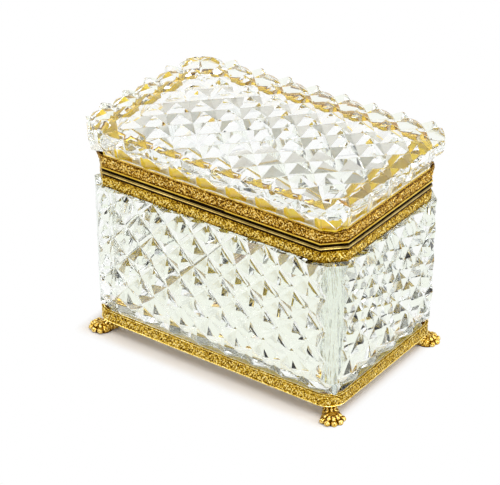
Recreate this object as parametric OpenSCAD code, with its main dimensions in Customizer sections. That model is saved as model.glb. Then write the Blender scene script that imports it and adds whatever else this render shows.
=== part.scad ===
// Cut crystal casket with gilt bronze mounts.
// A thick pressed and wheel cut crystal box stands in a gilt gallery on four paw feet.
// The lid is a second block of cut crystal, set in its own gilt rim and hinged at the back.
// Millimetres. Z is up, the front faces -Y, and the origin is on the table under the middle.

/* [Mounts] */
// Width of the gilt mounts across the front
mount_w = 180; // [150:1:240]
// Depth of the gilt mounts from front to back
mount_d = 112; // [95:1:150]
// Length that each canted corner takes off a side
cant = 11.6; // [9:0.2:15]
// Height of the split between box and lid above the table
split_z = 115.9; // [105:0.5:140]
// Height of the chased frieze round the box
body_frieze_h = 7.4; // [5:0.2:10]
// Height of the chased frieze round the lid
lid_frieze_h = 7.2; // [5:0.2:10]
// Height of the plain strip above the box frieze
strip_h = 3.9; // [3:0.1:6]
// Height of the plain fillet below the lid frieze
fillet_h = 1.8; // [1.6:0.1:2.4]
// Thickness of the frieze band
frieze_t = 1.5; // [1:0.1:2]
// Thickness of the rim's flange, which lies on the glass
flange_t = 1.6; // [1.2:0.1:2]
// Thickness of the rim's skirt behind the frieze
skirt_t = 1.1; // [0.8:0.1:1.6]
// Width of the box rim's flange over the glass wall
flange_w = 7.6; // [6:0.2:9]
// Height of the lid rim's inner upstand, which holds the glass from inside
upstand_h = 14; // [4:0.5:15]
// Thickness of that upstand
upstand_t = 1.1; // [0.8:0.1:1.6]
// Gap between the two rims when the lid is shut
split_gap = 0.3; // [0.2:0.05:0.5]
// Width of the finger notch in the lid fillet
notch_w = 25; // [10:1:40]
// Depth of the finger notch into the lid fillet
notch_in = 1; // [0.5:0.1:1.4]
// Height of the finger notch
notch_h = 1.2; // [0.6:0.1:1.5]

/* [Gallery and feet] */
// Height of the foot under the gallery
foot_h = 8.8; // [7:0.2:14]
// Height of the gallery band
gallery_h = 8.3; // [6:0.2:12]
// Thickness of the gallery band
gallery_t = 1.8; // [1.4:0.1:2.6]
// Thickness of the ledge that carries the glass
ledge_t = 2; // [1.6:0.1:3]
// Width of the ledge inwards from the band
ledge_w = 11; // [9:0.5:14]
// Radius of the sole of a paw
paw_r = 8; // [7:0.1:10]
// Height of the paw above the table
paw_h = 5.4; // [4.5:0.1:6]
// Distance of the paw's middle outside the canted corner
paw_out = 3.4; // [2:0.2:8]
// Number of toes on a paw
toes = 5; // [3:1:5]
// Radius of a toe
toe_r = 2.5; // [2:0.1:3]
// Radius of the ankle at its waist
ankle_r = 4.2; // [3.8:0.1:5]
// Radius of the ankle where it meets the gallery
ankle_top_r = 5.6; // [5:0.1:6.5]
// Diameter of the screw that holds a foot
screw_d = 3; // [2:0.1:3.4]
// Diameter of the head of that screw
screw_head_d = 5.4; // [4.5:0.1:6]
// Height of the head of that screw
screw_head_h = 1.8; // [1.2:0.1:2.4]

/* [Crystal] */
// How far the cut faces of the box stand proud of its mounts
body_proud = 3.2; // [0:0.1:4.4]
// How far the lid's girdle stands proud of its mounts
girdle_proud = 6.8; // [3:0.1:9]
// How much of each point along the girdle is ground off
point_cut = 1.2; // [0.6:0.1:1.8]
// Height of the lid's girdle above the split
girdle_h = 29.3; // [24:0.5:38]
// Height of the lid's flat field above the girdle
crown_h = 3; // [1:0.2:6]
// Width of the sloping border between girdle and field
crown_w = 12; // [6:0.5:18]
// How far the lid's lower slope starts inside the mounts
lid_foot_in = 1.9; // [1.2:0.1:3]
// Depth of the cuts between diamonds
cut = 3.4; // [2:0.1:4]
// Diagonal of a diamond, from point to point across the front of the box
diamond_w = 20.4; // [15:0.1:26]
// Diagonal of a diamond, from point to point up the box
diamond_h = 21.4; // [15:0.1:26]
// Distance from the frieze down to the first row of points on the box
first_row = 10.4; // [6:0.1:14]
// Half diamonds across the lid
lid_across = 19; // [15:1:24]
// Half diamonds from front to back of the lid
lid_deep = 12; // [8:2:16]
// Height of the lower slope of the box above the gallery
slope_h = 24; // [16:1:36]
// How far the lower slope runs inwards
slope_in = 5.4; // [3:0.2:6]
// Thickness of the box wall, from the points of the diamonds
wall_t = 10.6; // [9.6:0.2:12]
// Thickness of the glass floor
floor_t = 10; // [6:0.5:16]
// Inset of the ground glass edge that sits in a mount
seat_in = 3.6; // [3.2:0.1:4.4]
// Width of the ground glass rim under the lid
lid_rim_w = 7.4; // [6:0.2:12]
// Depth of the hollow under the lid
lid_hollow = 15; // [5:0.5:18]
// Thickness of the cement between glass and mount
cement_t = 0.5; // [0.3:0.05:0.9]

/* [Hinge] */
// Length of the hinge
hinge_len = 60; // [40:1:90]
// Number of knuckles, an odd number
knuckles = 5; // [3:2:7]
// Outer radius of a knuckle
knuckle_r = 2.4; // [2:0.1:3]
// Diameter of the hinge pin
pin_d = 2.4; // [1.8:0.1:2.8]
// Running clearance round the pin and between knuckles
play = 0.05; // [0.02:0.01:0.1]
// Thickness of a hinge leaf
leaf_t = 1.2; // [0.9:0.1:1.5]
// Rivets in each leaf
rivets = 4; // [2:1:6]
// Diameter of a rivet
rivet_d = 1.8; // [1.2:0.1:2.2]

/* [Hidden] */
$fn = 48;
air = 0.3;
over = 1;
far = mount_w + mount_d;
cant_in = 2 - sqrt(2);
gallery_z = foot_h;
gallery_top = foot_h + gallery_h;
strip_top = split_z - split_gap / 2;
strip_z = strip_top - strip_h;
body_frieze_z = strip_z - body_frieze_h;
fillet_z = split_z + split_gap / 2;
lid_frieze_z = fillet_z + fillet_h;
lid_frieze_top = lid_frieze_z + lid_frieze_h;
body_shoulder = body_frieze_z - air;
lid_shoulder = lid_frieze_top + air;
body_rim_top = strip_top - flange_t - cement_t;
lid_rim_z = fillet_z + flange_t + cement_t;
girdle_z = split_z + girdle_h;
crown_z = girdle_z + crown_h;
skirt_out = frieze_t;
skirt_in = frieze_t + skirt_t;
glass_foot_z = gallery_z + ledge_t + cement_t;
floor_z = glass_foot_z + floor_t;
cavity_in = wall_t - body_proud;
slope_top = gallery_top + slope_h;
glass_foot_in = gallery_t + cement_t;
glass_foot_top = gallery_top - air;
point_proud = girdle_proud + point_cut;
lid_hollow_in = seat_in + lid_rim_w;
lid_hollow_top = lid_rim_z + lid_hollow;
upstand_out = lid_hollow_in + air;
upstand_in = upstand_out + upstand_t;
upstand_top = min(fillet_z + upstand_h, lid_hollow_top - air);
pin_r = pin_d / 2;
hinge_y = mount_d / 2 + knuckle_r + air;
knuckle_len = hinge_len / knuckles;
cant_out = (mount_w / 2 + mount_d / 2 - cant) / sqrt(2);
ankle_in = 3.6;
toe_turn = 38;
toe_reach = paw_r - 0.7 * toe_r;
toe_lift = 0.8 * toe_r;
waist_z = 0.45 * foot_h;
cement_rise = 3;
rivet_head = 0.7;
pin_out = 0.4;
slope_steps = 12;
slope_power = 2;
leaf_short = 1.6;
body_leaf_h = strip_h + body_frieze_h - leaf_short;
lid_leaf_h = fillet_h + lid_frieze_h - leaf_short;
leaf_clear = knuckle_r + 2 * air;
body_rivet_z = split_z - (leaf_clear + body_leaf_h) / 2;
lid_rivet_z = split_z + (leaf_clear + lid_leaf_h) / 2;
paw_mid = ankle_in + paw_out;
paw_dome_r = (paw_r * paw_r + paw_h * paw_h) / (2 * paw_h);
ankle_x = mount_w / 2 - cant / 2 - ankle_in / sqrt(2);
ankle_y = mount_d / 2 - cant / 2 - ankle_in / sqrt(2);
screw_seat_z = paw_h / 2;
screw_top_z = gallery_z + ledge_t;
slot_w = 0.9;

gilt = "#d4a017";
polished = "#9c7c38";
crystal = "#dfe9e4";
putty = "#c08a30";
steel = "#8d9094";

// Outline of the casket in plan, moved outwards by e on all eight sides.
function outline(e) = let (
  x = mount_w / 2 + e,
  y = mount_d / 2 + e,
  c = cant + e * cant_in
) [
  [x, -y + c], [x, y - c], [x - c, y], [-x + c, y],
  [-x, y - c], [-x, -y + c], [-x + c, -y], [x - c, -y]
];

module slab(e, z0, z1) translate([0, 0, z0]) linear_extrude(z1 - z0) polygon(outline(e));

module band(e_out, e_in, z0, z1) translate([0, 0, z0])
  linear_extrude(z1 - z0) difference() {
    polygon(outline(e_out));
    polygon(outline(e_in));
  }

// Outline of the gallery, whose corners are round, moved outwards by e.
module round_outline(e) {
  x = mount_w / 2 + e;
  y = mount_d / 2 + e;
  r = cant + e;
  square([2 * (x - r), 2 * y], center = true);
  square([2 * x, 2 * (y - r)], center = true);
  for (sx = [-1, 1], sy = [-1, 1]) translate([sx * (x - r), sy * (y - r)]) circle(r);
}

module round_band(e_out, e_in, z0, z1) translate([0, 0, z0])
  linear_extrude(z1 - z0) difference() {
    round_outline(e_out);
    round_outline(e_in);
  }

// How far the faces of the box and of the lid stand outside the mounts at a height z.
function body_face(z) = body_proud
  - slope_in * pow(max(0, slope_top - z) / slope_h, slope_power);
function lid_face(z) = -lid_foot_in
  + (point_proud + lid_foot_in) * (z - lid_shoulder) / (girdle_z - lid_shoulder);

// A point of the lattice of diamonds is a crossing of two cuts when i + j is even.
function is_crossing(i, j) = (i + j) % 2 == 0;

// Faces of a block between a lattice of nu by nv points and the same lattice on its flat back.
function lattice_faces(nu, nv) = let (
  n = nu * nv,
  at = function(i, j) i * nv + j
) concat(
  [for (i = [0:nu - 2], j = [0:nv - 2], k = [0, 1])
    let (a = at(i, j), b = at(i + 1, j), c = at(i + 1, j + 1), d = at(i, j + 1))
    is_crossing(i, j) ? (k == 0 ? [a, c, b] : [a, d, c]) : (k == 0 ? [a, d, b] : [b, d, c])],
  [for (i = [0:nu - 2], j = [0:nv - 2])
    [n + at(i, j), n + at(i + 1, j), n + at(i + 1, j + 1), n + at(i, j + 1)]],
  [for (i = [0:nu - 2]) each [
    [at(i, 0), at(i + 1, 0), n + at(i + 1, 0), n + at(i, 0)],
    [at(i + 1, nv - 1), at(i, nv - 1), n + at(i, nv - 1), n + at(i + 1, nv - 1)]]],
  [for (j = [0:nv - 2]) each [
    [at(0, j + 1), at(0, j), n + at(0, j), n + at(0, j + 1)],
    [at(nu - 1, j), at(nu - 1, j + 1), n + at(nu - 1, j + 1), n + at(nu - 1, j)]]]
);

// A block whose front, towards -Y, is cut with diamonds along x = x0 + i dx and z = z0 + j dz.
// Its face lies out + face(z) from the middle, and the crossings lie a depth of deep below it.
module cut_wall(x0, dx, nx, z0, dz, nz, out, deep, face) {
  pts = [for (i = [0:nx - 1], j = [0:nz - 1])
    let (
      x = x0 + i * dx,
      z = z0 + j * dz
    )
    [x, -(out + face(z) - (is_crossing(i, j) ? deep : 0)), z]];
  back = [for (p = pts) [p.x, far, p.z]];
  polyhedron(concat(pts, back), lattice_faces(nx, nz));
}

// Diamonds of the box, with a diamond's point in the middle of each face.
module body_wall(width, out) {
  dx = diamond_w / 2;
  dz = diamond_h / 2;
  half = ceil(width / diamond_w) + 1;
  rows = ceil((body_shoulder - gallery_z) / dz) + 1;
  down = rows + (rows + half + 1) % 2;
  up = ceil(first_row / dz) + 1;
  cut_wall(-half * dx, dx, 2 * half + 1, body_shoulder - first_row - down * dz, dz, down + up + 1,
    out, cut, function(z) body_face(z));
}

module plain_wall(out, width, z0, z1, steps, face)
  cut_wall(-width / 2, width, 2, z0, (z1 - z0) / steps, steps + 1, out, 0, face);

module glass_body() color(crystal) difference() {
  union() {
    intersection() {
      body_wall(mount_w, mount_d / 2);
      rotate(180) body_wall(mount_w, mount_d / 2);
      rotate(90) body_wall(mount_d, mount_w / 2);
      rotate(270) body_wall(mount_d, mount_w / 2);
      for (a = [45:90:315]) rotate(a)
        plain_wall(cant_out, far, 0, split_z, slope_steps, function(z) body_face(z));
      slab(body_proud, gallery_top - over, body_shoulder);
    }
    slab(-seat_in, body_shoulder - cut, body_rim_top);
    slab(-glass_foot_in, glass_foot_z, glass_foot_top);
  }
  slab(-cavity_in, floor_z, split_z);
}

// Height of the lid's top, whose outermost lattice lines run along the girdle's points.
function crown_height(x, y) = let (
  to_girdle = min(mount_w / 2 + point_proud - abs(x), mount_d / 2 + point_proud - abs(y))
) crown_z - crown_h * (1 - min(1, to_girdle / crown_w));

// A block whose top is cut with diamonds, flat in the middle and sloping towards the girdle.
module crown_block() {
  nx = lid_across + 4;
  ny = lid_deep + 4;
  dx = (mount_w + 2 * point_proud) / lid_across;
  dy = (mount_d + 2 * point_proud) / lid_deep;
  x0 = -(mount_w / 2 + point_proud) - 2 * dx;
  y0 = -(mount_d / 2 + point_proud) - 2 * dy;
  pts = [for (i = [0:nx], j = [0:ny])
    let (x = x0 + i * dx, y = y0 + j * dy)
    [x, y, crown_height(x, y) - (is_crossing(i, j) ? cut : 0)]];
  base = [for (p = pts) [p.x, p.y, split_z]];
  polyhedron(concat(pts, base), lattice_faces(nx + 1, ny + 1));
}

// A lower slope of the lid, whose crossings meet those of the top along the girdle.
module lid_wall(width, out, count, parity) {
  dx = (width + 2 * point_proud) / count;
  dz = (girdle_z - lid_shoulder) / 2;
  cut_wall(-(width / 2 + point_proud) - (2 + parity) * dx, dx, count + 7,
    girdle_z - 4 * dz, dz, 7, out, cut, function(z) lid_face(z));
}

module glass_lid() color(crystal) difference() {
  union() {
    intersection() {
      crown_block();
      lid_wall(mount_w, mount_d / 2, lid_across, 0);
      rotate(180) lid_wall(mount_w, mount_d / 2, lid_across, 1);
      rotate(90) lid_wall(mount_d, mount_w / 2, lid_deep, 1);
      rotate(270) lid_wall(mount_d, mount_w / 2, lid_deep, 0);
      for (a = [45:90:315]) rotate(a)
        plain_wall(cant_out, far, split_z, crown_z + cut, 1, function(z) lid_face(z));
      slab(girdle_proud, lid_shoulder, crown_z);
    }
    slab(-seat_in, lid_rim_z, lid_shoulder + cut);
  }
  slab(-lid_hollow_in, split_z, lid_hollow_top);
}

// A rim of one mount: a flange on the ground edge of the glass, a plain strip that shows,
// and a skirt behind the frieze.
module rim(width, flange_z, strip_z0, strip_z1, skirt_z0, skirt_z1) {
  band(0, -width, flange_z, flange_z + flange_t);
  band(0, -skirt_in, strip_z0, strip_z1);
  band(-skirt_out, -skirt_in, skirt_z0, skirt_z1);
}

module body_frame() color(polished) difference() {
  rim(flange_w, strip_top - flange_t, strip_z, strip_top, body_frieze_z, strip_top);
  rivet_holes(body_rivet_z);
}

module body_frieze() color(gilt) difference() {
  band(0, -skirt_out, body_frieze_z, strip_z);
  rivet_holes(body_rivet_z);
}

module lid_frame() color(gilt) difference() {
  union() {
    rim(upstand_in, fillet_z, fillet_z, lid_frieze_z, fillet_z, lid_frieze_top);
    band(-upstand_out, -upstand_in, fillet_z, upstand_top);
  }
  rivet_holes(lid_rivet_z);
  translate([-notch_w / 2, -mount_d / 2 - over, split_z]) cube([notch_w, notch_in + over, notch_h]);
}

module lid_frieze() color(gilt) difference() {
  band(0, -skirt_out, lid_frieze_z, lid_frieze_top);
  rivet_holes(lid_rivet_z);
}

// Places its children at the ankle of the foot under one corner, with +X pointing outwards.
module at_corner(sx, sy) translate([sx * ankle_x, sy * ankle_y, 0])
  rotate(sx > 0 ? sy * 45 : 180 - sy * 45) children();

module at_corners() for (sx = [-1, 1], sy = [-1, 1]) at_corner(sx, sy) children();

// The ledge under the glass, round outside and canted inside.
module ledge() translate([0, 0, gallery_z]) linear_extrude(ledge_t) difference() {
  round_outline(0);
  polygon(outline(-ledge_w));
}

module base_gallery() color(gilt) difference() {
  union() {
    round_band(0, -gallery_t, gallery_z, gallery_top);
    ledge();
  }
  at_corners() translate([0, 0, gallery_z - over])
    cylinder(h = ledge_t + 2 * over, d = screw_d + 2 * play);
}

// A lion's paw: a domed paw with a ring of toes, and an ankle that flares up to the gallery.
module paw() difference() {
  union() {
    intersection() {
      translate([paw_mid, 0, paw_h - paw_dome_r]) sphere(paw_dome_r);
      translate([paw_mid, 0, 0]) cylinder(h = paw_h, r = paw_r);
    }
    intersection() {
      for (k = [0:toes - 1])
        translate([paw_mid, 0, 0]) rotate((k - (toes - 1) / 2) * toe_turn)
          translate([toe_reach, 0, toe_lift]) sphere(toe_r);
      translate([paw_mid - 2 * paw_r, -2 * paw_r, 0]) cube([4 * paw_r, 4 * paw_r, paw_h]);
    }
    rotate_extrude() polygon(concat(
      [[0, 0], [ankle_r, 0]],
      [for (t = [0:0.125:1]) [ankle_r + (ankle_top_r - ankle_r) * t * t,
        waist_z + (foot_h - waist_z) * t]],
      [[0, foot_h]]));
  }
  translate([0, 0, -over]) cylinder(h = foot_h + 2 * over, d = screw_d + air);
  translate([0, 0, -over]) cylinder(h = screw_seat_z + over, d = screw_head_d + 2 * air);
}

module front_left_foot() color(gilt) at_corner(-1, -1) paw();
module front_right_foot() color(gilt) at_corner(1, -1) paw();
module rear_left_foot() color(gilt) at_corner(-1, 1) paw();
module rear_right_foot() color(gilt) at_corner(1, 1) paw();

module foot_screws() color(polished) at_corners() difference() {
  union() {
    translate([0, 0, screw_seat_z - screw_head_h]) cylinder(h = screw_head_h, d = screw_head_d);
    translate([0, 0, screw_seat_z - over])
      cylinder(h = screw_top_z - screw_seat_z + over, d = screw_d);
  }
  translate([-screw_head_d, -slot_w / 2, screw_seat_z - screw_head_h - over])
    cube([2 * screw_head_d, slot_w, over + screw_head_h / 2]);
}

// Knuckles of one leaf: the odd ones belong to the box and the even ones to the lid.
module knuckle_row(first) for (k = [first:2:knuckles - 1])
  translate([-hinge_len / 2 + k * knuckle_len + play, 0, 0]) children();

module leaf(first, side, height) {
  width = knuckle_len - 2 * play;
  translate([0, hinge_y, split_z]) difference() {
    union() {
      translate([-hinge_len / 2, -knuckle_r - air, side > 0 ? leaf_clear : -height])
        cube([hinge_len, leaf_t, height - leaf_clear]);
      knuckle_row(first) {
        rotate([0, 90, 0]) cylinder(h = width, r = knuckle_r);
        translate([0, -knuckle_r - air, side > 0 ? 0 : -leaf_clear])
          cube([width, leaf_t, leaf_clear]);
      }
    }
    translate([-hinge_len, 0, 0]) rotate([0, 90, 0]) cylinder(h = 2 * hinge_len, r = pin_r + play);
  }
}

module body_hinge_leaf() color(gilt) difference() {
  leaf(0, -1, body_leaf_h);
  rivet_holes(body_rivet_z);
}

module lid_hinge_leaf() color(gilt) difference() {
  leaf(1, 1, lid_leaf_h);
  rivet_holes(lid_rivet_z);
}

module hinge_pin() color(steel) translate([-hinge_len / 2 - pin_out, hinge_y, split_z])
  rotate([0, 90, 0]) cylinder(h = hinge_len + 2 * pin_out, r = pin_r);

module at_rivets(z) for (k = [0:rivets - 1])
  translate([(k - (rivets - 1) / 2) * hinge_len / rivets, mount_d / 2, z]) rotate([-90, 0, 0])
    children();

module rivet_holes(z) at_rivets(z)
  translate([0, 0, -skirt_in - over])
    cylinder(h = skirt_in + leaf_t + 2 * over, d = rivet_d + 2 * play);

module rivet_set(z) at_rivets(z) {
  translate([0, 0, -skirt_in]) cylinder(h = skirt_in + leaf_t, d = rivet_d);
  intersection() {
    translate([0, 0, leaf_t + rivet_head - rivet_d]) sphere(rivet_d);
    translate([0, 0, leaf_t]) cylinder(h = rivet_head, d = 2 * rivet_d);
  }
}

module body_hinge_rivets() color(gilt) rivet_set(body_rivet_z);
module lid_hinge_rivets() color(gilt) rivet_set(lid_rivet_z);

// Cement fills the space between the ground edge of the glass and its mount.
module body_cement() color(putty) {
  band(-skirt_in, -seat_in, body_frieze_z, body_rim_top);
  band(-skirt_in, -flange_w, body_rim_top, strip_top - flange_t);
}

module lid_cement() color(putty) {
  band(-skirt_in, -seat_in, lid_rim_z, lid_frieze_top);
  band(-skirt_in, -lid_hollow_in, fillet_z + flange_t, lid_rim_z);
}

module base_cement() color(putty) {
  translate([0, 0, glass_foot_z]) linear_extrude(cement_rise) difference() {
    round_outline(-gallery_t);
    polygon(outline(-glass_foot_in));
  }
  translate([0, 0, gallery_z + ledge_t]) linear_extrude(cement_t) difference() {
    round_outline(-gallery_t);
    polygon(outline(-ledge_w));
  }
}

glass_body();
glass_lid();
body_frame();
body_frieze();
lid_frame();
lid_frieze();
base_gallery();
front_left_foot();
front_right_foot();
rear_left_foot();
rear_right_foot();
foot_screws();
body_hinge_leaf();
lid_hinge_leaf();
hinge_pin();
body_hinge_rivets();
lid_hinge_rivets();
body_cement();
lid_cement();
base_cement();
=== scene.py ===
"""Dresses the crystal casket: cut glass, chased and burnished gilt, paw feet, putty and a studio."""

import logging
import math
from collections.abc import Callable
from dataclasses import dataclass
from enum import Enum
from typing import Any, ClassVar

import bpy
import numpy as np
from mathutils import Matrix, Vector, noise

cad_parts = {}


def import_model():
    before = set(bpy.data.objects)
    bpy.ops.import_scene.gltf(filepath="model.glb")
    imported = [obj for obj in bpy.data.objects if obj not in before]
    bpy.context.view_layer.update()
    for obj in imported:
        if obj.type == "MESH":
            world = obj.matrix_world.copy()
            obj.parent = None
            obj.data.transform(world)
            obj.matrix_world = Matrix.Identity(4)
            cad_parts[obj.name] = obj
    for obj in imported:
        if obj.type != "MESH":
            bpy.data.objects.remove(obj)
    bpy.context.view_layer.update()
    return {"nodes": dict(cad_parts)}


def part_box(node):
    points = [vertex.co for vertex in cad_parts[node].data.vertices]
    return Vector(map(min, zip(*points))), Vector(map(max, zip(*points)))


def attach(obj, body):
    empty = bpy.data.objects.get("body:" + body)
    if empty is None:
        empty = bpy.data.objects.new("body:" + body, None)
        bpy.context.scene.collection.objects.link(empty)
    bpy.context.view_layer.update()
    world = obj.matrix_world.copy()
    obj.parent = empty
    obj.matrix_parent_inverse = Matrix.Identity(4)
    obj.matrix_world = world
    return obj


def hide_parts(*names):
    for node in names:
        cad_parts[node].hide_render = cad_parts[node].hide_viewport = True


Object = bpy.types.Object
Material = bpy.types.Material
Array = np.ndarray
Node = bpy.types.Node
Socket = bpy.types.NodeSocket
Inputs = dict[str | int, Socket | float | tuple[float, ...]]
Triple = tuple[float, float, float]
Colour = tuple[float, float, float]
Profile = tuple[tuple[float, ...], ...]
Eggs = tuple[tuple[Triple, Triple], ...]

LOG = logging.getLogger("casket")
MM = 0.001
TURN = 2 * math.pi
WHITE = (1.0, 1.0, 1.0)
SOFT_EDGE = 0.25 * MM
# Least relief of a chased band: its ground and edges darken towards the hollow colour, partly patina and partly
# painted shade.
FRIEZE_FLOOR = 0.08

# Strips of the rims, as a share of the height from the split, an offset in millimetres and a relief, which
# paints shade: at 0 the grooves are painted near black.
FILLET = (
    (0.0, -0.9, 0.0), (0.28, -0.75, 0.0), (0.36, -0.2, 0.5), (0.50, 0.0, 1.0), (0.84, 0.0, 1.0),
    (0.92, -0.3, 0.4), (1.0, -0.6, 0.0),
)
REEDS = (
    (0.0, -0.75, 0.0), (0.17, -0.75, 0.0), (0.20, -0.20, 0.20), (0.25, -0.04, 0.27), (0.39, -0.04, 0.24),
    (0.42, -0.20, 0.10), (0.45, -0.12, 0.5), (0.48, 0.0, 1.0), (0.56, 0.0, 1.0), (0.59, -0.12, 0.5),
    (0.61, -0.80, 0.0), (1.0, -0.80, 0.0),
)

# Rings of putty, as offsets and heights in millimetres.
BODY_BED = ((-2.64, 104.5), (-2.64, 114.1), (-7.55, 114.1), (-7.55, 113.73), (-3.5, 113.73), (-3.5, 104.5))
LID_BED = ((-2.64, 125.0), (-3.5, 125.0), (-3.5, 118.07), (-10.95, 118.07), (-10.95, 117.7), (-2.64, 117.7))
BASE_BED = ((-1.86, 10.84), (-10.95, 10.84), (-10.95, 11.22), (-2.2, 11.22), (-2.2, 14.2), (-1.86, 14.2))

# Upright ground seats of the glass, as an inset and two heights in millimetres, and its level ground rims.
BODY_SEATS, BODY_RIM = ((3.6, 104.1, 113.7), (2.3, 11.2, 17.2)), 113.65
LID_SEATS, LID_RIM = ((3.6, 118.1, 125.4),), 118.15


class Foot(Enum):
    """The corner that a foot stands under, as the signs of its x and y."""

    FRONT_LEFT = (-1, -1)
    FRONT_RIGHT = (1, -1)
    REAR_LEFT = (-1, 1)
    REAR_RIGHT = (1, 1)

    @property
    def node(self) -> str:
        """Name of the foot's solid."""
        return self.name.lower() + "_foot"


class Ornament(Enum):
    """What is chased on a band of the mounts."""

    RUNNING_SCROLL = "scroll"
    FOLIAGE = "foliage"


# ---- work at the bench


def start_clean() -> None:
    """Leaves edit mode and deselects everything."""
    if bpy.context.object is not None and bpy.context.object.mode != "OBJECT":
        bpy.ops.object.mode_set(mode="OBJECT")
    bpy.ops.object.select_all(action="DESELECT")


def take(obj: Object) -> None:
    """Makes an object the only selected one and the active one.

    Args:
        obj: the object.
    """
    start_clean()
    obj.select_set(True)
    bpy.context.view_layer.objects.active = obj


def rework(obj: Object, operator: Callable[..., set[str]], **settings: Any) -> None:
    """Runs an edit-mode operator on a whole mesh.

    Args:
        obj: the mesh object.
        operator: the operator.
        settings: its settings.
    """
    take(obj)
    bpy.ops.object.mode_set(mode="EDIT")
    bpy.ops.mesh.select_all(action="SELECT")
    operator(**settings)
    bpy.ops.object.mode_set(mode="OBJECT")


def shape_up(name: str, size: Triple = (1.0, 1.0, 1.0)) -> Object:
    """Names the active primitive, sizes it and puts its place into its mesh.

    Args:
        name: the name of the object and its mesh.
        size: how many times its own size it becomes along x, y and z.

    Returns:
        The object.
    """
    obj = bpy.context.object
    obj.name = obj.data.name = name
    obj.scale = size
    bpy.ops.object.transform_apply(location=True, rotation=True, scale=True)
    return obj


def stand(name: str, data: bpy.types.ID) -> Object:
    """Stands a new object in the scene.

    Args:
        name: its name.
        data: its mesh, lamp or camera.

    Returns:
        The object.
    """
    obj = bpy.data.objects.new(name, data)
    bpy.context.scene.collection.objects.link(obj)
    return obj


def apply_modifier(obj: Object, kind: str, **settings: Any) -> None:
    """Adds a modifier to an object and applies it.

    Args:
        obj: the mesh object.
        kind: the modifier's type.
        settings: the modifier's properties.
    """
    take(obj)
    modifier = obj.modifiers.new(kind.lower(), kind)
    for key, value in settings.items():
        setattr(modifier, key, value)
    bpy.ops.object.modifier_apply(modifier=modifier.name)


def settle(obj: Object, smooth_angle: float) -> None:
    """Puts an object's place into its mesh and shades it smooth below an angle.

    Args:
        obj: the mesh object.
        smooth_angle: the angle in degrees between faces that stays a crisp edge.
    """
    take(obj)
    bpy.ops.object.transform_apply(location=True, rotation=True, scale=True)
    bpy.ops.object.shade_smooth_by_angle(angle=math.radians(smooth_angle))
    start_clean()


def merge_close(obj: Object, distance: float) -> None:
    """Merges the points of a mesh that are closer than a distance, and turns its faces outwards."""
    rework(obj, bpy.ops.mesh.remove_doubles, threshold=distance)
    rework(obj, bpy.ops.mesh.normals_make_consistent, inside=False)


def vectors_of(obj: Object, name: str = "co") -> Array:
    """Reads a vector of each point of a mesh.

    Args:
        obj: the mesh object.
        name: "co" for the places or "normal" for the normals.

    Returns:
        One row per point.
    """
    values = np.zeros(len(obj.data.vertices) * 3)
    obj.data.vertices.foreach_get(name, values)
    return values.reshape(-1, 3)


def move_points(obj: Object, points: Array) -> None:
    """Writes the points of a mesh back."""
    obj.data.vertices.foreach_set("co", np.ascontiguousarray(points, float).ravel())
    obj.data.update()


def paint(obj: Object, relief: Array) -> None:
    """Stores the relief of each point of a mesh, clipped to 0..1, from which the finishes paint shade and
    highlight.
    """
    attribute = obj.data.attributes.new("relief", "FLOAT", "POINT")
    attribute.data.foreach_set("value", np.clip(relief, 0, 1).astype(np.float32))


def fade(values: Array, start: float, run: float) -> Array:
    """Rises from 0 at the start to 1 after the run, and stays there."""
    return np.clip((values - start) / run, 0, 1)


def bead(across: Array, width: float) -> Array:
    """Rounds up from 0 at both edges of a width to 1 in its middle."""
    return np.clip(1 - np.abs(across - width / 2) / (width / 2), 0, 1) ** 0.5


# ---- finishes


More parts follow.
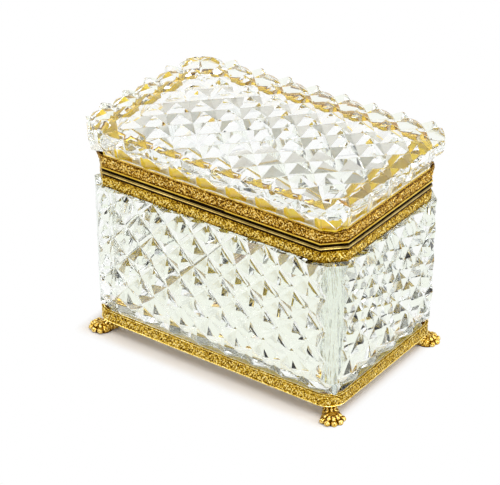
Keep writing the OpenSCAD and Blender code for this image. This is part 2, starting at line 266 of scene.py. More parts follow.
@dataclass
class Graph:
    """A node tree that is wired up node by node."""

    tree: bpy.types.NodeTree

    def feed(self, node: Node, inputs: Inputs) -> None:
        """Links a node's inputs, or sets them.

        Args:
            node: the node.
            inputs: a socket or a plain value for each input, by its name or number.
        """
        for key, value in inputs.items():
            if isinstance(value, Socket):
                self.tree.links.new(value, node.inputs[key])
            else:
                node.inputs[key].default_value = value

    def node(self, kind: str, inputs: Inputs | None = None, **settings: Any) -> Node:
        """Adds a node.

        Args:
            kind: the node's type.
            inputs: what goes into it.
            settings: the node's properties.

        Returns:
            The node.
        """
        made = self.tree.nodes.new(kind)
        for key, value in settings.items():
            setattr(made, key, value)
        self.feed(made, inputs or {})
        return made

    def noise(self, scale: float, detail: float, rough: float = 0.5, stretch: Triple | None = None) -> Socket:
        """Adds noise on the piece's own coordinates.

        Args:
            scale: features a metre.
            detail: octaves.
            rough: how much the small octaves count.
            stretch: how many times as many features there are along x, y and z.

        Returns:
            The noise's value, about 0.5 on average.
        """
        place = self.node("ShaderNodeTexCoord").outputs["Object"]
        if stretch is not None:
            place = self.node("ShaderNodeMapping", {"Vector": place, "Scale": stretch}).outputs["Vector"]
        grain = {"Vector": place, "Scale": scale, "Detail": detail, "Roughness": rough}
        return self.node("ShaderNodeTexNoise", grain).outputs["Fac"]

    def ramp(self, source: Socket, *stops: tuple[float, Colour]) -> Socket:
        """Turns a value into a colour.

        Args:
            source: the value.
            stops: pairs of a value and a colour.

        Returns:
            The colour.
        """
        ramp = self.node("ShaderNodeValToRGB", {"Fac": source})
        elements = ramp.color_ramp.elements
        while len(elements) < len(stops):
            elements.new(0.5)
        for element, (position, colour) in zip(elements, stops):
            element.position = position
            element.color = (*colour, 1.0)
        return ramp.outputs["Color"]

    def spread(
        self, source: Socket, low: float, high: float, out_low: float, out_high: float, **settings: Any,
    ) -> Socket:
        """Stretches a value from one range to another and clips it.

        Args:
            source: the value.
            low: the value that becomes out_low.
            high: the value that becomes out_high.
            out_low: the result at low.
            out_high: the result at high.
            settings: the node's properties.

        Returns:
            The new value.
        """
        inputs = {"Value": source, "From Min": low, "From Max": high, "To Min": out_low, "To Max": out_high}
        return self.node("ShaderNodeMapRange", inputs, **settings).outputs["Result"]

    def mix(
        self, factor: Socket | float, first: Socket | tuple[float, ...], second: Socket, blend: str = "MIX",
    ) -> Socket:
        """Mixes two colours.

        Args:
            factor: how much of the second.
            first: a colour.
            second: a colour.
            blend: how they are mixed.

        Returns:
            The mixed colour.
        """
        inputs = {0: factor, 6: first, 7: second}
        return self.node("ShaderNodeMix", inputs, data_type="RGBA", blend_type=blend).outputs[2]

    def math(self, operation: str, first: Socket, second: Socket | float) -> Socket:
        """Works a sum on two values."""
        return self.node("ShaderNodeMath", {0: first, 1: second}, operation=operation).outputs[0]

    def vector(self, operation: str, first: Socket, second: Triple = (0.0, 0.0, 0.0)) -> Socket:
        """Works a sum on a vector and a fixed one."""
        return self.node("ShaderNodeVectorMath", {0: first, 1: second}, operation=operation).outputs["Vector"]

    def rays(self) -> tuple[Socket, Socket]:
        """Tells the rays that show something from those that only light.

        Returns:
            1 for rays from the camera or from gloss, and 1 for rays that came through the glass.
        """
        path = self.node("ShaderNodeLightPath").outputs
        return self.math("MAXIMUM", path["Is Camera Ray"], path["Is Glossy Ray"]), path["Is Transmission Ray"]


class Recipe(Graph):
    """A material being mixed: its node tree and its surface shader."""

    def __init__(self, name: str) -> None:
        """Starts a new material with one shader.

        Args:
            name: the material's name.
        """
        self.material = bpy.data.materials.new(name)
        self.material.use_nodes = True
        super().__init__(self.material.node_tree)
        self.shader = self.tree.nodes["Principled BSDF"]
        self.output = self.tree.nodes["Material Output"]

    def coat(self, inputs: Inputs) -> None:
        """Links or sets inputs of the surface shader."""
        self.feed(self.shader, inputs)

    def bump(self, height: Socket, distance: float, strength: float) -> None:
        """Roughens the surface by a height from 0 to 1, that is so many metres deep and shows so strongly."""
        bump = self.node("ShaderNodeBump", {"Height": height, "Distance": distance, "Strength": strength})
        self.coat({"Normal": bump.outputs["Normal"]})


@dataclass(frozen=True)
class CutCrystal:
    """Clear lead crystal, cut and polished, with a green grey tint in the depth."""

    name: str = "cut_crystal"
    ior: float = 1.54
    faint: Colour = (0.996, 0.999, 0.994)
    depth_colour: Colour = (0.50, 0.74, 0.62)
    depth_density: float = 0.9
    dullest: float = 0.035
    streaked: bool = False
    streaks: Triple = (430.0, 430.0, 42.0)
    streak_depth: float = 3.6 * MM

    def mix(self) -> Material:
        """Mixes the material.

        Returns:
            The material.
        """
        recipe = Recipe(self.name)
        recipe.coat({
            "Transmission Weight": 1.0,
            "IOR": self.ior,
            "Base Color": recipe.ramp(recipe.noise(34.0, 2.0), (0.3, self.faint), (0.7, WHITE)),
            "Roughness": recipe.spread(recipe.noise(420.0, 3.0), 0.35, 0.75, 0.0, self.dullest),
        })
        if self.streaked:
            recipe.bump(recipe.noise(1.0, 3.5, stretch=self.streaks), self.streak_depth, 1.0)
        absorption = {"Color": (*self.depth_colour, 1.0), "Density": self.depth_density}
        depth = recipe.node("ShaderNodeVolumeAbsorption", absorption)
        recipe.feed(recipe.output, {"Volume": depth.outputs["Volume"]})
        return recipe.material


@dataclass(frozen=True)
class ChasedGilt:
    """Gilt bronze, cast and chased: dark matt hollows, partly patina and partly painted shade, bright worn
    heights and a painted highlight on the highest.
    """

    name: str = "chased_gilt"
    # The hollow colour is patina with painted shade; the glint colour is a painted highlight.
    hollow: Colour = (0.085, 0.034, 0.001)
    middle: Colour = (0.56, 0.305, 0.008)
    height: Colour = (1.0, 0.71, 0.09)
    painted_glint: Colour = (1.0, 0.90, 0.46)
    drift: float = 0.10
    grit: float = 0.50

    def mix(self) -> Material:
        """Mixes the material.

        Returns:
            The material.
        """
        recipe = Recipe(self.name)
        relief = recipe.node("ShaderNodeAttribute", attribute_name="relief").outputs["Fac"]
        drifts = recipe.spread(recipe.noise(260.0, 4.0, 0.6), 0.3, 0.7, -self.drift, self.drift)
        struck = recipe.spread(recipe.noise(1450.0, 2.0, 0.6), 0.34, 0.66, -self.grit, self.grit)
        mottle = recipe.math("ADD", recipe.math("ADD", relief, drifts), struck)
        # The relief paints shade into the hollows and a painted highlight, the glint, onto the highest heights.
        colours = (0.16, self.hollow), (0.45, self.middle), (0.74, self.height), (1.0, self.painted_glint)
        recipe.coat({
            "Metallic": 1.0,
            "Base Color": recipe.ramp(mottle, *colours),
            "Roughness": recipe.spread(relief, 0.15, 0.9, 0.52, 0.24),
        })
        recipe.bump(recipe.noise(2600.0, 2.0), 0.06 * MM, 0.6)
        return recipe.material


@dataclass(frozen=True)
class BurnishedGilt:
    """Gilt bronze, plain and burnished, a little darkened by handling, with painted shade in its grooves where
    it has relief.
    """

    name: str = "burnished_gilt"
    worn: Colour = (0.50, 0.34, 0.08)
    bright: Colour = (0.95, 0.70, 0.22)
    # Painted shade for the grooves, multiplied in where the relief is low.
    painted_groove_shade: Colour = (0.022, 0.012, 0.005)
    has_relief: bool = True

    def mix(self) -> Material:
        """Mixes the material.

        Returns:
            The material.
        """
        recipe = Recipe(self.name)
        gilt = recipe.ramp(recipe.noise(90.0, 5.0, 0.62), (0.34, self.worn), (0.66, self.bright))
        if self.has_relief:
            relief = recipe.node("ShaderNodeAttribute", attribute_name="relief").outputs["Fac"]
            # Painted shade: low relief darkens the gilt towards near black in the grooves.
            gilt = recipe.mix(1.0, gilt, recipe.ramp(relief, (0.1, self.painted_groove_shade), (0.55, WHITE)), "MULTIPLY")
        hairs = recipe.noise(700.0, 3.0)
        gloss = recipe.spread(hairs, 0.3, 0.7, 0.20, 0.36)
        recipe.coat({"Metallic": 1.0, "Base Color": gilt, "Roughness": gloss})
        recipe.bump(hairs, 0.02 * MM, 0.4)
        return recipe.material


class Grain(Enum):
    """How a grained finish drifts: its noise, the values of the noise at its two ends, and its gloss."""

    LEAF = (140.0, 4.0, 0.6), (0.35, 0.65), (0.30, 0.46)
    PUTTY = (300.0, 5.0, 0.6), (0.3, 0.7), (0.7, 0.9)
    BOND = (180.0, 4.0, 0.6), (0.35, 0.65), (0.28, 0.45)
    STEEL = (900.0, 3.0, 0.5), (0.3, 0.7), (0.28, 0.42)


@dataclass(frozen=True)
class GrainedFinish:
    """Leaf gilding, putty, glass to which putty clings or drawn steel: colour and gloss drift together."""

    name: str
    grain: Grain
    dark: Colour
    light: Colour
    metallic: float = 1.0
    lump_depth: float = 0.0

    def mix(self) -> Material:
        """Mixes the material.

        Returns:
            The material.
        """
        recipe = Recipe(self.name)
        noise_sizes, (low, high), gloss = self.grain.value
        grain = recipe.noise(*noise_sizes)
        recipe.coat({
            "Metallic": self.metallic,
            "Base Color": recipe.ramp(grain, (low, self.dark), (high, self.light)),
            "Roughness": recipe.spread(grain, 0.3, 0.7, *gloss),
        })
        if self.lump_depth:
            recipe.bump(grain, self.lump_depth, 0.5)
        return recipe.material


# ---- plan of the mounts


@dataclass(frozen=True)
class Plan:
    """The rectangle with canted corners that all mounts follow, in metres."""

    width: float = 180 * MM
    depth: float = 112 * MM
    cant: float = 11.6 * MM

    def side_length(self, side: int) -> float:
        """Length of one of the eight sides at no offset; odd sides are cants."""
        long_side = self.depth if side % 4 == 0 else self.width
        return self.cant * math.sqrt(2) if side % 2 else long_side - 2 * self.cant

    def outside(self, x: float, y: float) -> float:
        """How far a place lies outside the plan; negative inside it."""
        across, deep = abs(x) - self.width / 2, abs(y) - self.depth / 2
        return max(across, deep, (across + deep + self.cant) / math.sqrt(2))

    def place(self, side: Array, t: Array, out: Array, roundness: Array) -> Array:
        """Places the points of a ring in plan.

        Args:
            side: which of the eight sides each station is on, from the right side round by the back.
            t: how far along its side each station is, from 0 to 1.
            out: how far outside the plan each point lies, with one row per point of the profile.
            roundness: 0 for a canted corner and 1 for a round one, one per row.

        Returns:
            The x and the y of each point.
        """
        x, y = self.width / 2 + out, self.depth / 2 + out
        c = self.cant + out * (2 - math.sqrt(2))
        a, b = x - c, y - c
        ends = np.array([(x, -b), (x, b), (a, y), (-a, y), (-x, b), (-x, -b), (-a, -y), (a, -y)])
        station = np.arange(len(side))
        first, second = (np.moveaxis(ends[k, :, :, station], 0, 2) for k in (side, (side + 1) % 8))
        straight = first + (second - first) * t
        # Of the corners, which are the odd sides, 1 and 7 are on the right, and 1 and 3 at the back.
        turn = ((side - 1) // 2 + t) * (math.pi / 2)
        centre = np.array([np.where(side % 6 == 1, a, -a), np.where(side < 4, b, -b)])
        curved = centre + c * np.array([np.cos(turn), np.sin(turn)])[:, None, :]
        return straight + (curved - straight) * roundness[:, None] * (side % 2)


@dataclass
class Ring:
    """A closed band round the casket, swept from a profile that may change along the way."""

    name: str
    plan: Plan
    step: float
    cant_parts: int = 6

    def __post_init__(self) -> None:
        """Sets out the stations round the plan: their side, and their share and distance along it."""
        stations: list[tuple[float, ...]] = []
        for k in range(8):
            length = self.plan.side_length(k)
            count = max(self.cant_parts if k % 2 else 1, round(length / self.step))
            stations += [(k, i / count, (i / count - 0.5) * length) for i in range(count)]
        side, self.t, self.along = np.array(stations).T
        self.side = side.astype(int)

    def drift(self, scale: float, apart: float, seed: float) -> Array:
        """Draws noise along the ring, the sides so far apart in it that they differ."""
        places = zip(self.along, self.side)
        return np.array([noise.noise(Vector((a * scale, k * apart, seed))) for a, k in places])

    def sweep(self, out: Array, height: Array, roundness: Array, relief: Array) -> Object:
        """Makes the band from its closed profile, with one row per point and one column, or one per station.

        Args:
            out: offset from the plan.
            height: z.
            roundness: how round the corners are in each row, without columns.
            relief: the number painted on each point, 0 for painted shade in a hollow and 1 for a bright height,
                painted highlight on chased gilt.

        Returns:
            The band.
        """
        rows, stations = len(roundness), len(self.side)
        out, height, relief = (np.broadcast_to(table, (rows, stations)) for table in (out, height, relief))
        px, py = self.plan.place(self.side, self.t, out, roundness)
        start_clean()
        bpy.ops.mesh.primitive_grid_add(x_subdivisions=stations, y_subdivisions=rows, size=1.0)
        obj = shape_up(self.name)
        grid = vectors_of(obj)
        column = np.rint((grid[:, 0] + 0.5) * stations).astype(int) % stations
        row = np.rint((grid[:, 1] + 0.5) * rows).astype(int) % rows
        move_points(obj, np.stack([px[row, column], py[row, column], height[row, column]], 1))
        paint(obj, relief[row, column])
        merge_close(obj, 0.001 * MM)
        return obj


# ---- ornament


@dataclass(frozen=True)
class Chasing:
    """The chased ornament of a band, as a height between 0 and 1 over its length and width."""

    ornament: Ornament
    width: float
    repeat: float
    seed: float
    figure: float = 0.38
    overlay: float = 0.25
    wander: float = 0.16
    grain: float = 1.05 * MM
    grain_squash: float = 1.15

    def heights(self, ring: Ring, up: Array) -> Array:
        """Works the ornament out on a grid.

        Args:
            ring: the band that it goes round.
            up: share of the band's width of each row, from 0 to 1.

        Returns:
            Heights, one row per row of the band.
        """
        lengths = np.array([ring.plan.side_length(int(k)) for k in ring.side])
        repeats = np.maximum(1, np.round(lengths / self.repeat))
        x = (ring.along / lengths + 0.5) * repeats + self.wander * ring.drift(130, 9.0, self.seed)
        z = (up - 0.5) * self.width
        field = self._figures(x[None, :], z[:, None])
        grains = self._grains(ring, up)
        return np.clip(self.figure * field + (1 - self.figure) * grains + self.overlay * field * grains, 0, 1)

    def _grains(self, ring: Ring, up: Array) -> Array:
        """Strikes small beads of uneven size all over the ground.

        Args:
            ring: the band.
            up: share of the band's width of each row.

        Returns:
            Heights from 0 between the beads to 1 on top.
        """
        per = 1 / self.grain
        rows = []
        for b in up * self.width:
            y = b * per * self.grain_squash
            places = [Vector((a * per, y, k * 11.0 + self.seed)) for a, k in zip(ring.along, ring.side)]
            spots = [noise.voronoi(place)[0] for place in places]
            rows.append([min(1.0, 1.5 * (spot[1] - spot[0])) for spot in spots])
        return np.array(rows)

    def _figures(self, x: Array, z: Array) -> Array:
        """Draws a wavy stem with a leafy volute in each of its bends, or with slanting leaves about it.

        Args:
            x: repeats along the band.
            z: distance from its middle.

        Returns:
            Heights.
        """
        w = self.width
        half = np.floor(2 * x)
        u = (2 * x - half - 0.5) * self.repeat / 2
        sign = np.where(half % 2 == 0, 1.0, -1.0)
        if self.ornament is Ornament.FOLIAGE:
            stem = np.exp(-(((z - 0.22 * w * np.sin(TURN * x)) / (0.10 * w)) ** 2))
            lobe = np.cos(TURN * (u - 0.55 * z * sign) / (self.repeat / 4))
            blade = np.clip(0.5 + 0.9 * lobe, 0, 1) * np.clip(1.15 - np.abs(z) / (0.5 * w), 0, 1)
            return np.maximum(blade, 0.9 * stem)
        v = z * sign + 0.06 * w
        radius, angle = np.hypot(u, v), np.arctan2(v, u)
        spiral = 0.5 + 0.5 * np.cos(TURN * radius / (0.30 * w) - angle)
        reach = 0.46 * w * (0.80 + 0.20 * np.cos(7 * angle))
        volute = spiral * fade(reach - radius, 0, 0.12 * w)
        stem = np.exp(-(((z - 0.33 * w * np.sin(TURN * x)) / (0.09 * w)) ** 2))
        tips = np.exp(-(((np.abs(u) - self.repeat / 4) / (0.13 * w)) ** 2))
        tips = tips * (0.5 + 0.5 * np.cos(TURN * z / (0.36 * w)))
        return np.maximum(np.maximum(volute, 0.95 * stem), 0.7 * tips)


# ---- the pieces


@dataclass
class Mount:
    """A piece that stands for one solid of the casket. Each kind has its own build method."""

    node: str
    body: str
    plan: Plan

    slot: ClassVar[str] = "chased_gilt"

    def dress(self, obj: Object, finish: Material, *others: Material) -> None:
        """Gives the piece its finishes and its place on the casket.

        Args:
            obj: the piece.
            finish: its finish.
            others: further finishes, where it has several.
        """
        obj.data.materials.clear()
        for each in (finish, *others):
            obj.data.materials.append(each)
        for polygon in obj.data.polygons if others else ():
            polygon.material_index = self.finish_at(polygon)
        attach(obj, self.body)
        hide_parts(self.node)

    def finish_at(self, polygon: bpy.types.MeshPolygon) -> int:
        """Number of the finish that a face has."""
        return 0


@dataclass
class ChasedBand(Mount):
    """A frieze: a flat band whose outer face is chased between two thin listels."""

    chasing: Chasing
    depth: float = 0.75 * MM
    sunk: float = 0.7 * MM
    listel: float = 0.6 * MM
    listel_rise: float = 0.25
    thickness: float = 1.5 * MM
    round_top: float = 0.0
    step: float = 0.33 * MM
    cant_parts: int = 6

    def lay_out(self, name: str) -> tuple[Ring, Array, Array, float, float]:
        """Sets the ornament out on the band.

        Args:
            name: the piece's name.

        Returns:
            The ring, the rows as shares of the width, the ornament's heights, and the lowest and highest z.
        """
        low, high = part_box(self.node)
        ring = Ring(name, self.plan, self.step, self.cant_parts)
        up = np.linspace(0, 1, round((high.z - low.z) / self.step) + 1)
        return ring, up, self.chasing.heights(ring, up), low.z, high.z

    def build(self) -> Object:
        """Makes the band in the place of its solid.

        Returns:
            The band.
        """
        ring, up, field, z0, z1 = self.lay_out("chased_" + self.node)
        width = z1 - z0
        edge = np.minimum(up, 1 - up)[:, None] * width
        # Each listel's bead falls to the floor at the band's edges, which paints a dark line of shade there.
        inside = fade(edge, self.listel, SOFT_EDGE)
        raised = inside * field + (1 - inside) * self.listel_rise * bead(edge, self.listel)
        back = np.full((1, len(ring.side)), -self.thickness)
        obj = ring.sweep(
            np.vstack([back, self.depth * raised - self.sunk, back]),
            np.concatenate([[z0], z0 + up * width, [z1]])[:, None],
            np.concatenate([[0.0], self.round_top * up, [self.round_top]]),
            np.vstack([back * 0 + 0.4, FRIEZE_FLOOR + (1 - FRIEZE_FLOOR) * raised, back * 0 + 0.4]),
        )
        settle(obj, 60)
        return obj


@dataclass
class Gallery(ChasedBand):
    """The chased gallery round the foot of the glass, with the ledge that carries it."""

    depth: float = 0.7 * MM
    sunk: float = 0.75 * MM
    thickness: float = 1.8 * MM
    cant_parts: int = 40
    ledge: float = 2.0 * MM
    ledge_width: float = 11 * MM
    lip: float = 0.8 * MM
    hem: float = 1.2 * MM

    def build(self) -> Object:
        """Makes the band, its lips and its ledge in one sweep.

        Returns:
            The gallery.
        """
        ring, up, field, z0, z1 = self.lay_out("chased_gallery")
        width = z1 - z0
        z = (up * width)[:, None]
        # The hem and lip beads fall to the floor at the band's edges, which paints a dark line of shade there.
        inside = fade(z, self.hem, SOFT_EDGE) * fade(width - z, self.lip, SOFT_EDGE)
        raised = np.maximum(inside * field, np.maximum(bead(z, self.hem), bead(width - z, self.lip)))
        inner = (
            (-self.thickness, z1, 0.9, 0.9),
            (-self.thickness, z0 + self.ledge, 0.9, 0.85),
            (-self.ledge_width, z0 + self.ledge, 0.0, 0.85),
            (-self.ledge_width, z0, 0.0, 0.6),
        )
        out, height, roundness, relief = np.array(inner).T[:, :, None] * np.ones((1, 1, len(ring.side)))
        obj = ring.sweep(
            np.vstack([self.depth * raised - self.sunk, out]),
            np.vstack([z0 + z * np.ones((1, len(ring.side))), height]),
            np.concatenate([np.full(len(up), 0.9), roundness[:, 0]]),
            np.vstack([FRIEZE_FLOOR + (1 - FRIEZE_FLOOR) * raised, relief]),
        )
        settle(obj, 60)
        return obj


@dataclass
class PlainRim(Mount):
    """A burnished rim: flange on the glass, reeded strip that shows, and skirt behind the frieze."""

    frieze: str
    strip: float
    marks: Profile
    upward: bool
    flange: float = 7.6 * MM
    flange_thickness: float = 1.6 * MM
    skirt_out: float = 1.5 * MM
    skirt_in: float = 2.6 * MM
    ease: float = 0.3 * MM
    notch: Triple | None = None
    notch_ease: float = 0.45 * MM
    upstand: tuple[float, float] | None = None
    step: float = 200 * MM
    scallops: tuple[float, float] = (20.63 * MM, 21.33 * MM)
    # Share of each scallop's pitch where gold leaf is painted as the scallop's refracted dome.
    painted_dome_share: float = 0.60

    slot: ClassVar[str] = "polished_gilt"

    def profile(self) -> Array:
        """Draws the closed profile, from the split outwards and back by the flange.

        Returns:
            Rows of an offset, a height and a relief.
        """
        low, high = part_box(self.node)
        frieze_low, frieze_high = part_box(self.frieze)
        skirt = self.strip + frieze_high.z - frieze_low.z
        rows = [(out * MM, share * self.strip, shade) for share, out, shade in self.marks]
        # The skirt's corner under the frieze gets a relief of 0.05, painted dark as shade.
        rows += [
            (-self.skirt_out, self.strip, 0.05),
            (-self.skirt_out, skirt, 0.9),
            (-self.skirt_in, skirt, 0.9),
            (-self.skirt_in, self.flange_thickness, 0.9),
        ]
        inner = self.flange
        if self.upstand is not None:
            outer, inner = self.upstand
            rise = high.z - low.z
            rows += [(-outer, self.flange_thickness, 0.9), (-outer, rise, 1.0), (-inner, rise, 1.0)]
        else:
            rows.append((-inner, self.flange_thickness, 0.9))
        rows += [(-inner, self.ease, 0.9), (-inner + self.ease, 0.0, 0.8)]
        table = np.array(rows)
        table[:, 1] = low.z + table[:, 1] if self.upward else high.z - table[:, 1]
        return table

    def build(self) -> Object:
        """Sweeps the rim round the plan and cuts its finger notch with a soft-ended cutter.

        Returns:
            The rim.
        """
        ring = Ring("burnished_" + self.node, self.plan, self.step, cant_parts=1)
        out, height, relief = self.profile().T[:, :, None]
        obj = ring.sweep(out, height, np.zeros(len(out)), relief)
        if self.notch is not None:
            width, inward, height = self.notch
            start_clean()
            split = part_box(self.node)[0].z
            bpy.ops.mesh.primitive_cube_add(size=1.0, location=(0, -self.plan.depth / 2, split))
            cutter = shape_up("notch_cutter", (width, 2 * inward, 2 * height))
            apply_modifier(cutter, "BEVEL", width=self.notch_ease, segments=3, limit_method="NONE")
            apply_modifier(obj, "BOOLEAN", operation="DIFFERENCE", object=cutter, solver="EXACT")
            bpy.data.objects.remove(cutter)
        settle(obj, 35)
        return obj

    def finish_at(self, polygon: bpy.types.MeshPolygon) -> int:
        """Tells how a face is finished; the upstand's leaf is painted once for each scallop above it, as the
        refracted gold dome that the scallop shows, with pale metal between.

        Args:
            polygon: the face.

        Returns:
            1 for leaf on the upstand's outer face, 2 for the pale metal between and behind it, and 0 elsewhere.
        """
        x, y, _ = polygon.center
        outer, inner = self.upstand
        inset = -self.plan.outside(x, y)
        across = abs(y) / self.plan.depth > abs(x) / self.plan.width
        start = 0.25 if across else 0.5 if x > 0 else 0.0
        turns = (x / self.scallops[0] if across else y / self.scallops[1]) - start + 0.5
        shows_painted_dome = abs(turns - round(turns)) < self.painted_dome_share / 2
        if inset <= outer - 0.1 * MM:
            return 0
        return 1 if shows_painted_dome and inset <= (outer + inner) / 2 else 2


@dataclass
class PawPattern:
    """The paw that all feet copy: five toes and a fluted ankle, in millimetres, facing +X.

    A lump is the middle and the half sizes of an egg. A joint of a toe is how far along and across the toe's
    direction it lies from the middle of the paw, its height, and the half sizes of its egg.
    """

    paw_mid: float = 7.0
    foot_height: float = 8.8
    lumps: Eggs = (
        ((6.4, 0, 0.6), (6.8, 6.8, 4.9)), ((2.5, 0, 2.6), (4.6, 5.2, 4.0)),
    )
    joints: Eggs = (
        ((6.0, 6.1, 1.7), (2.116, 1.978, 1.9)), ((3.5, 3.5, 3.4), (2.5, 1.65, 2.0)),
    )
    toes: int = 5
    toe_turn: float = 38.0
    ankle_radius: float = 4.2
    ankle_foot: float = 1.0
    ankle_cuts: tuple[float, ...] = (5.0, 6.0, 7.0, 7.8, 8.3)
    flare_from: float = 4.0
    flare: float = 0.36
    flutes: int = 11
    flute_depth: float = 0.55
    grain_depth: float = 0.42
    relief_rings: int = 8
    relief_span: float = 0.16
    voxel: float = 0.24

    def add_lump(self, place: Triple, size: Triple, turn: float = 0.0) -> Object:
        """Adds an egg-shaped lump.

        Args:
            place: its middle.
            size: its half sizes.
            turn: its turn about the vertical, in radians.

        Returns:
            The lump.
        """
        start_clean()
        ball = {"segments": 32, "ring_count": 20, "radius": 1.0}
        bpy.ops.mesh.primitive_uv_sphere_add(location=place, rotation=(0, 0, turn), **ball)
        return shape_up("paw_lump", size)

    def add_ankle(self) -> Object:
        """Adds the flared ankle by cutting up a column and widening its top.

        Returns:
            The ankle.
        """
        start_clean()
        middle = (0, 0, (self.foot_height + self.ankle_foot) / 2)
        column = {"vertices": 96, "radius": self.ankle_radius, "depth": self.foot_height - self.ankle_foot}
        bpy.ops.mesh.primitive_cylinder_add(location=middle, **column)
        ankle = shape_up("paw_ankle")
        for height in self.ankle_cuts:
            rework(ankle, bpy.ops.mesh.bisect, plane_co=(0, 0, height), plane_no=(0, 0, 1))
        points = vectors_of(ankle)
        flare = fade(points[:, 2], self.flare_from, self.foot_height - self.flare_from) ** 2
        points[:, :2] *= (1 + self.flare * flare)[:, None]
        move_points(ankle, points)
        return ankle

    def build(self) -> Object:
        """Joins the lumps of the paw, melts them together and chases them.

        Returns:
            The paw.
        """
        parts = [self.add_lump(*lump) for lump in self.lumps]
        parts.append(self.add_ankle())
        for k in range(self.toes):
            turn = math.radians((k - (self.toes - 1) / 2) * self.toe_turn)
            for (along, across, height), size in self.joints:
                place = (self.paw_mid + along * math.cos(turn), across * math.sin(turn), height)
                parts.append(self.add_lump(place, size, turn))
        start_clean()
        for part in parts:
            part.select_set(True)
        bpy.context.view_layer.objects.active = parts[0]
        bpy.ops.object.join()
        paw = shape_up("paw_pattern")
        paw.data.remesh_voxel_size = self.voxel
        bpy.ops.object.voxel_remesh()
        apply_modifier(paw, "SMOOTH", factor=0.5, iterations=2)
        self.chase(paw)
        return paw

    def chase(self, paw: Object) -> None:
        """Cuts flutes in the ankle, grains the toes, flattens the sole and paints the relief, as painted shade
        in the hollows, in the flutes and towards the sole.

        Args:
            paw: the melted paw.
        """
        points = vectors_of(paw)
        angle = np.arctan2(points[:, 1], points[:, 0])
        radius = np.hypot(points[:, 0], points[:, 1])
        on_ankle = fade(points[:, 2], 4.6, 0.8) * fade(6.4 - radius, 0, 0.6)
        on_paw = fade(points[:, 2], 0.5, 0.8) * (1 - on_ankle)
        wave = 0.5 * np.cos(self.flutes * angle)
        grain = np.array([0.42 - noise.voronoi(Vector(p) * 0.85)[0][0] for p in points])
        rise = self.grain_depth * grain * on_paw - self.flute_depth * (0.5 - wave) ** 1.3 * on_ankle
        points = points + vectors_of(paw, "normal") * rise[:, None]
        points[:, 2] = np.clip(points[:, 2], 0.0, self.foot_height)
        move_points(paw, points)
        # Painted shade: hollows and flute bottoms are darker, and so is the paw towards the sole, where it
        # stands on the floor.
        shade = self.relief(paw) * (1 - on_ankle) + on_ankle * (0.06 + 0.94 * (0.5 + wave) ** 0.8)
        paint(paw, shade * np.clip((points[:, 2] - 0.15) / 1.1, 0.05, 1))

    def relief(self, paw: Object) -> Array:
        """How raised each point is above its surroundings, from 0 in a hollow to 1 on a ridge.

        Args:
            paw: the chased paw.

        Returns:
            One number per point.
        """
        points = vectors_of(paw)
        count = len(points)
        edges = np.zeros(len(paw.data.edges) * 2, int)
        paw.data.edges.foreach_get("vertices", edges)
        a, b = edges.reshape(-1, 2).T
        soft = points
        for _ in range(self.relief_rings):
            total = [np.bincount(a, soft[b, k], count) + np.bincount(b, soft[a, k], count) for k in range(3)]
            soft = np.stack(total, 1) / np.bincount(edges)[:, None]
        raised = ((points - soft) * vectors_of(paw, "normal")).sum(1)
        return 0.5 + 0.5 * raised / self.relief_span


@dataclass
class PawFoot(Mount):
    """A foot set diagonally under a corner, with its own copy of the paw."""

    corner: Foot
    pattern: Object
    ankle_in: float = 3.6 * MM

    def build(self) -> Object:
        """Copies the pattern to its corner.

        Returns:
            The foot.
        """
        sx, sy = self.corner.value
        foot = stand("chased_" + self.node, self.pattern.data.copy())
        reach = self.plan.cant / 2 + self.ankle_in / math.sqrt(2)
        place = (sx * (self.plan.width / 2 - reach), sy * (self.plan.depth / 2 - reach), 0)
        turn = Matrix.Rotation(math.atan2(sy, sx), 4, "Z")
        foot.data.transform(Matrix.Translation(place) @ turn @ Matrix.Scale(MM, 4))
        settle(foot, 70)
        return foot


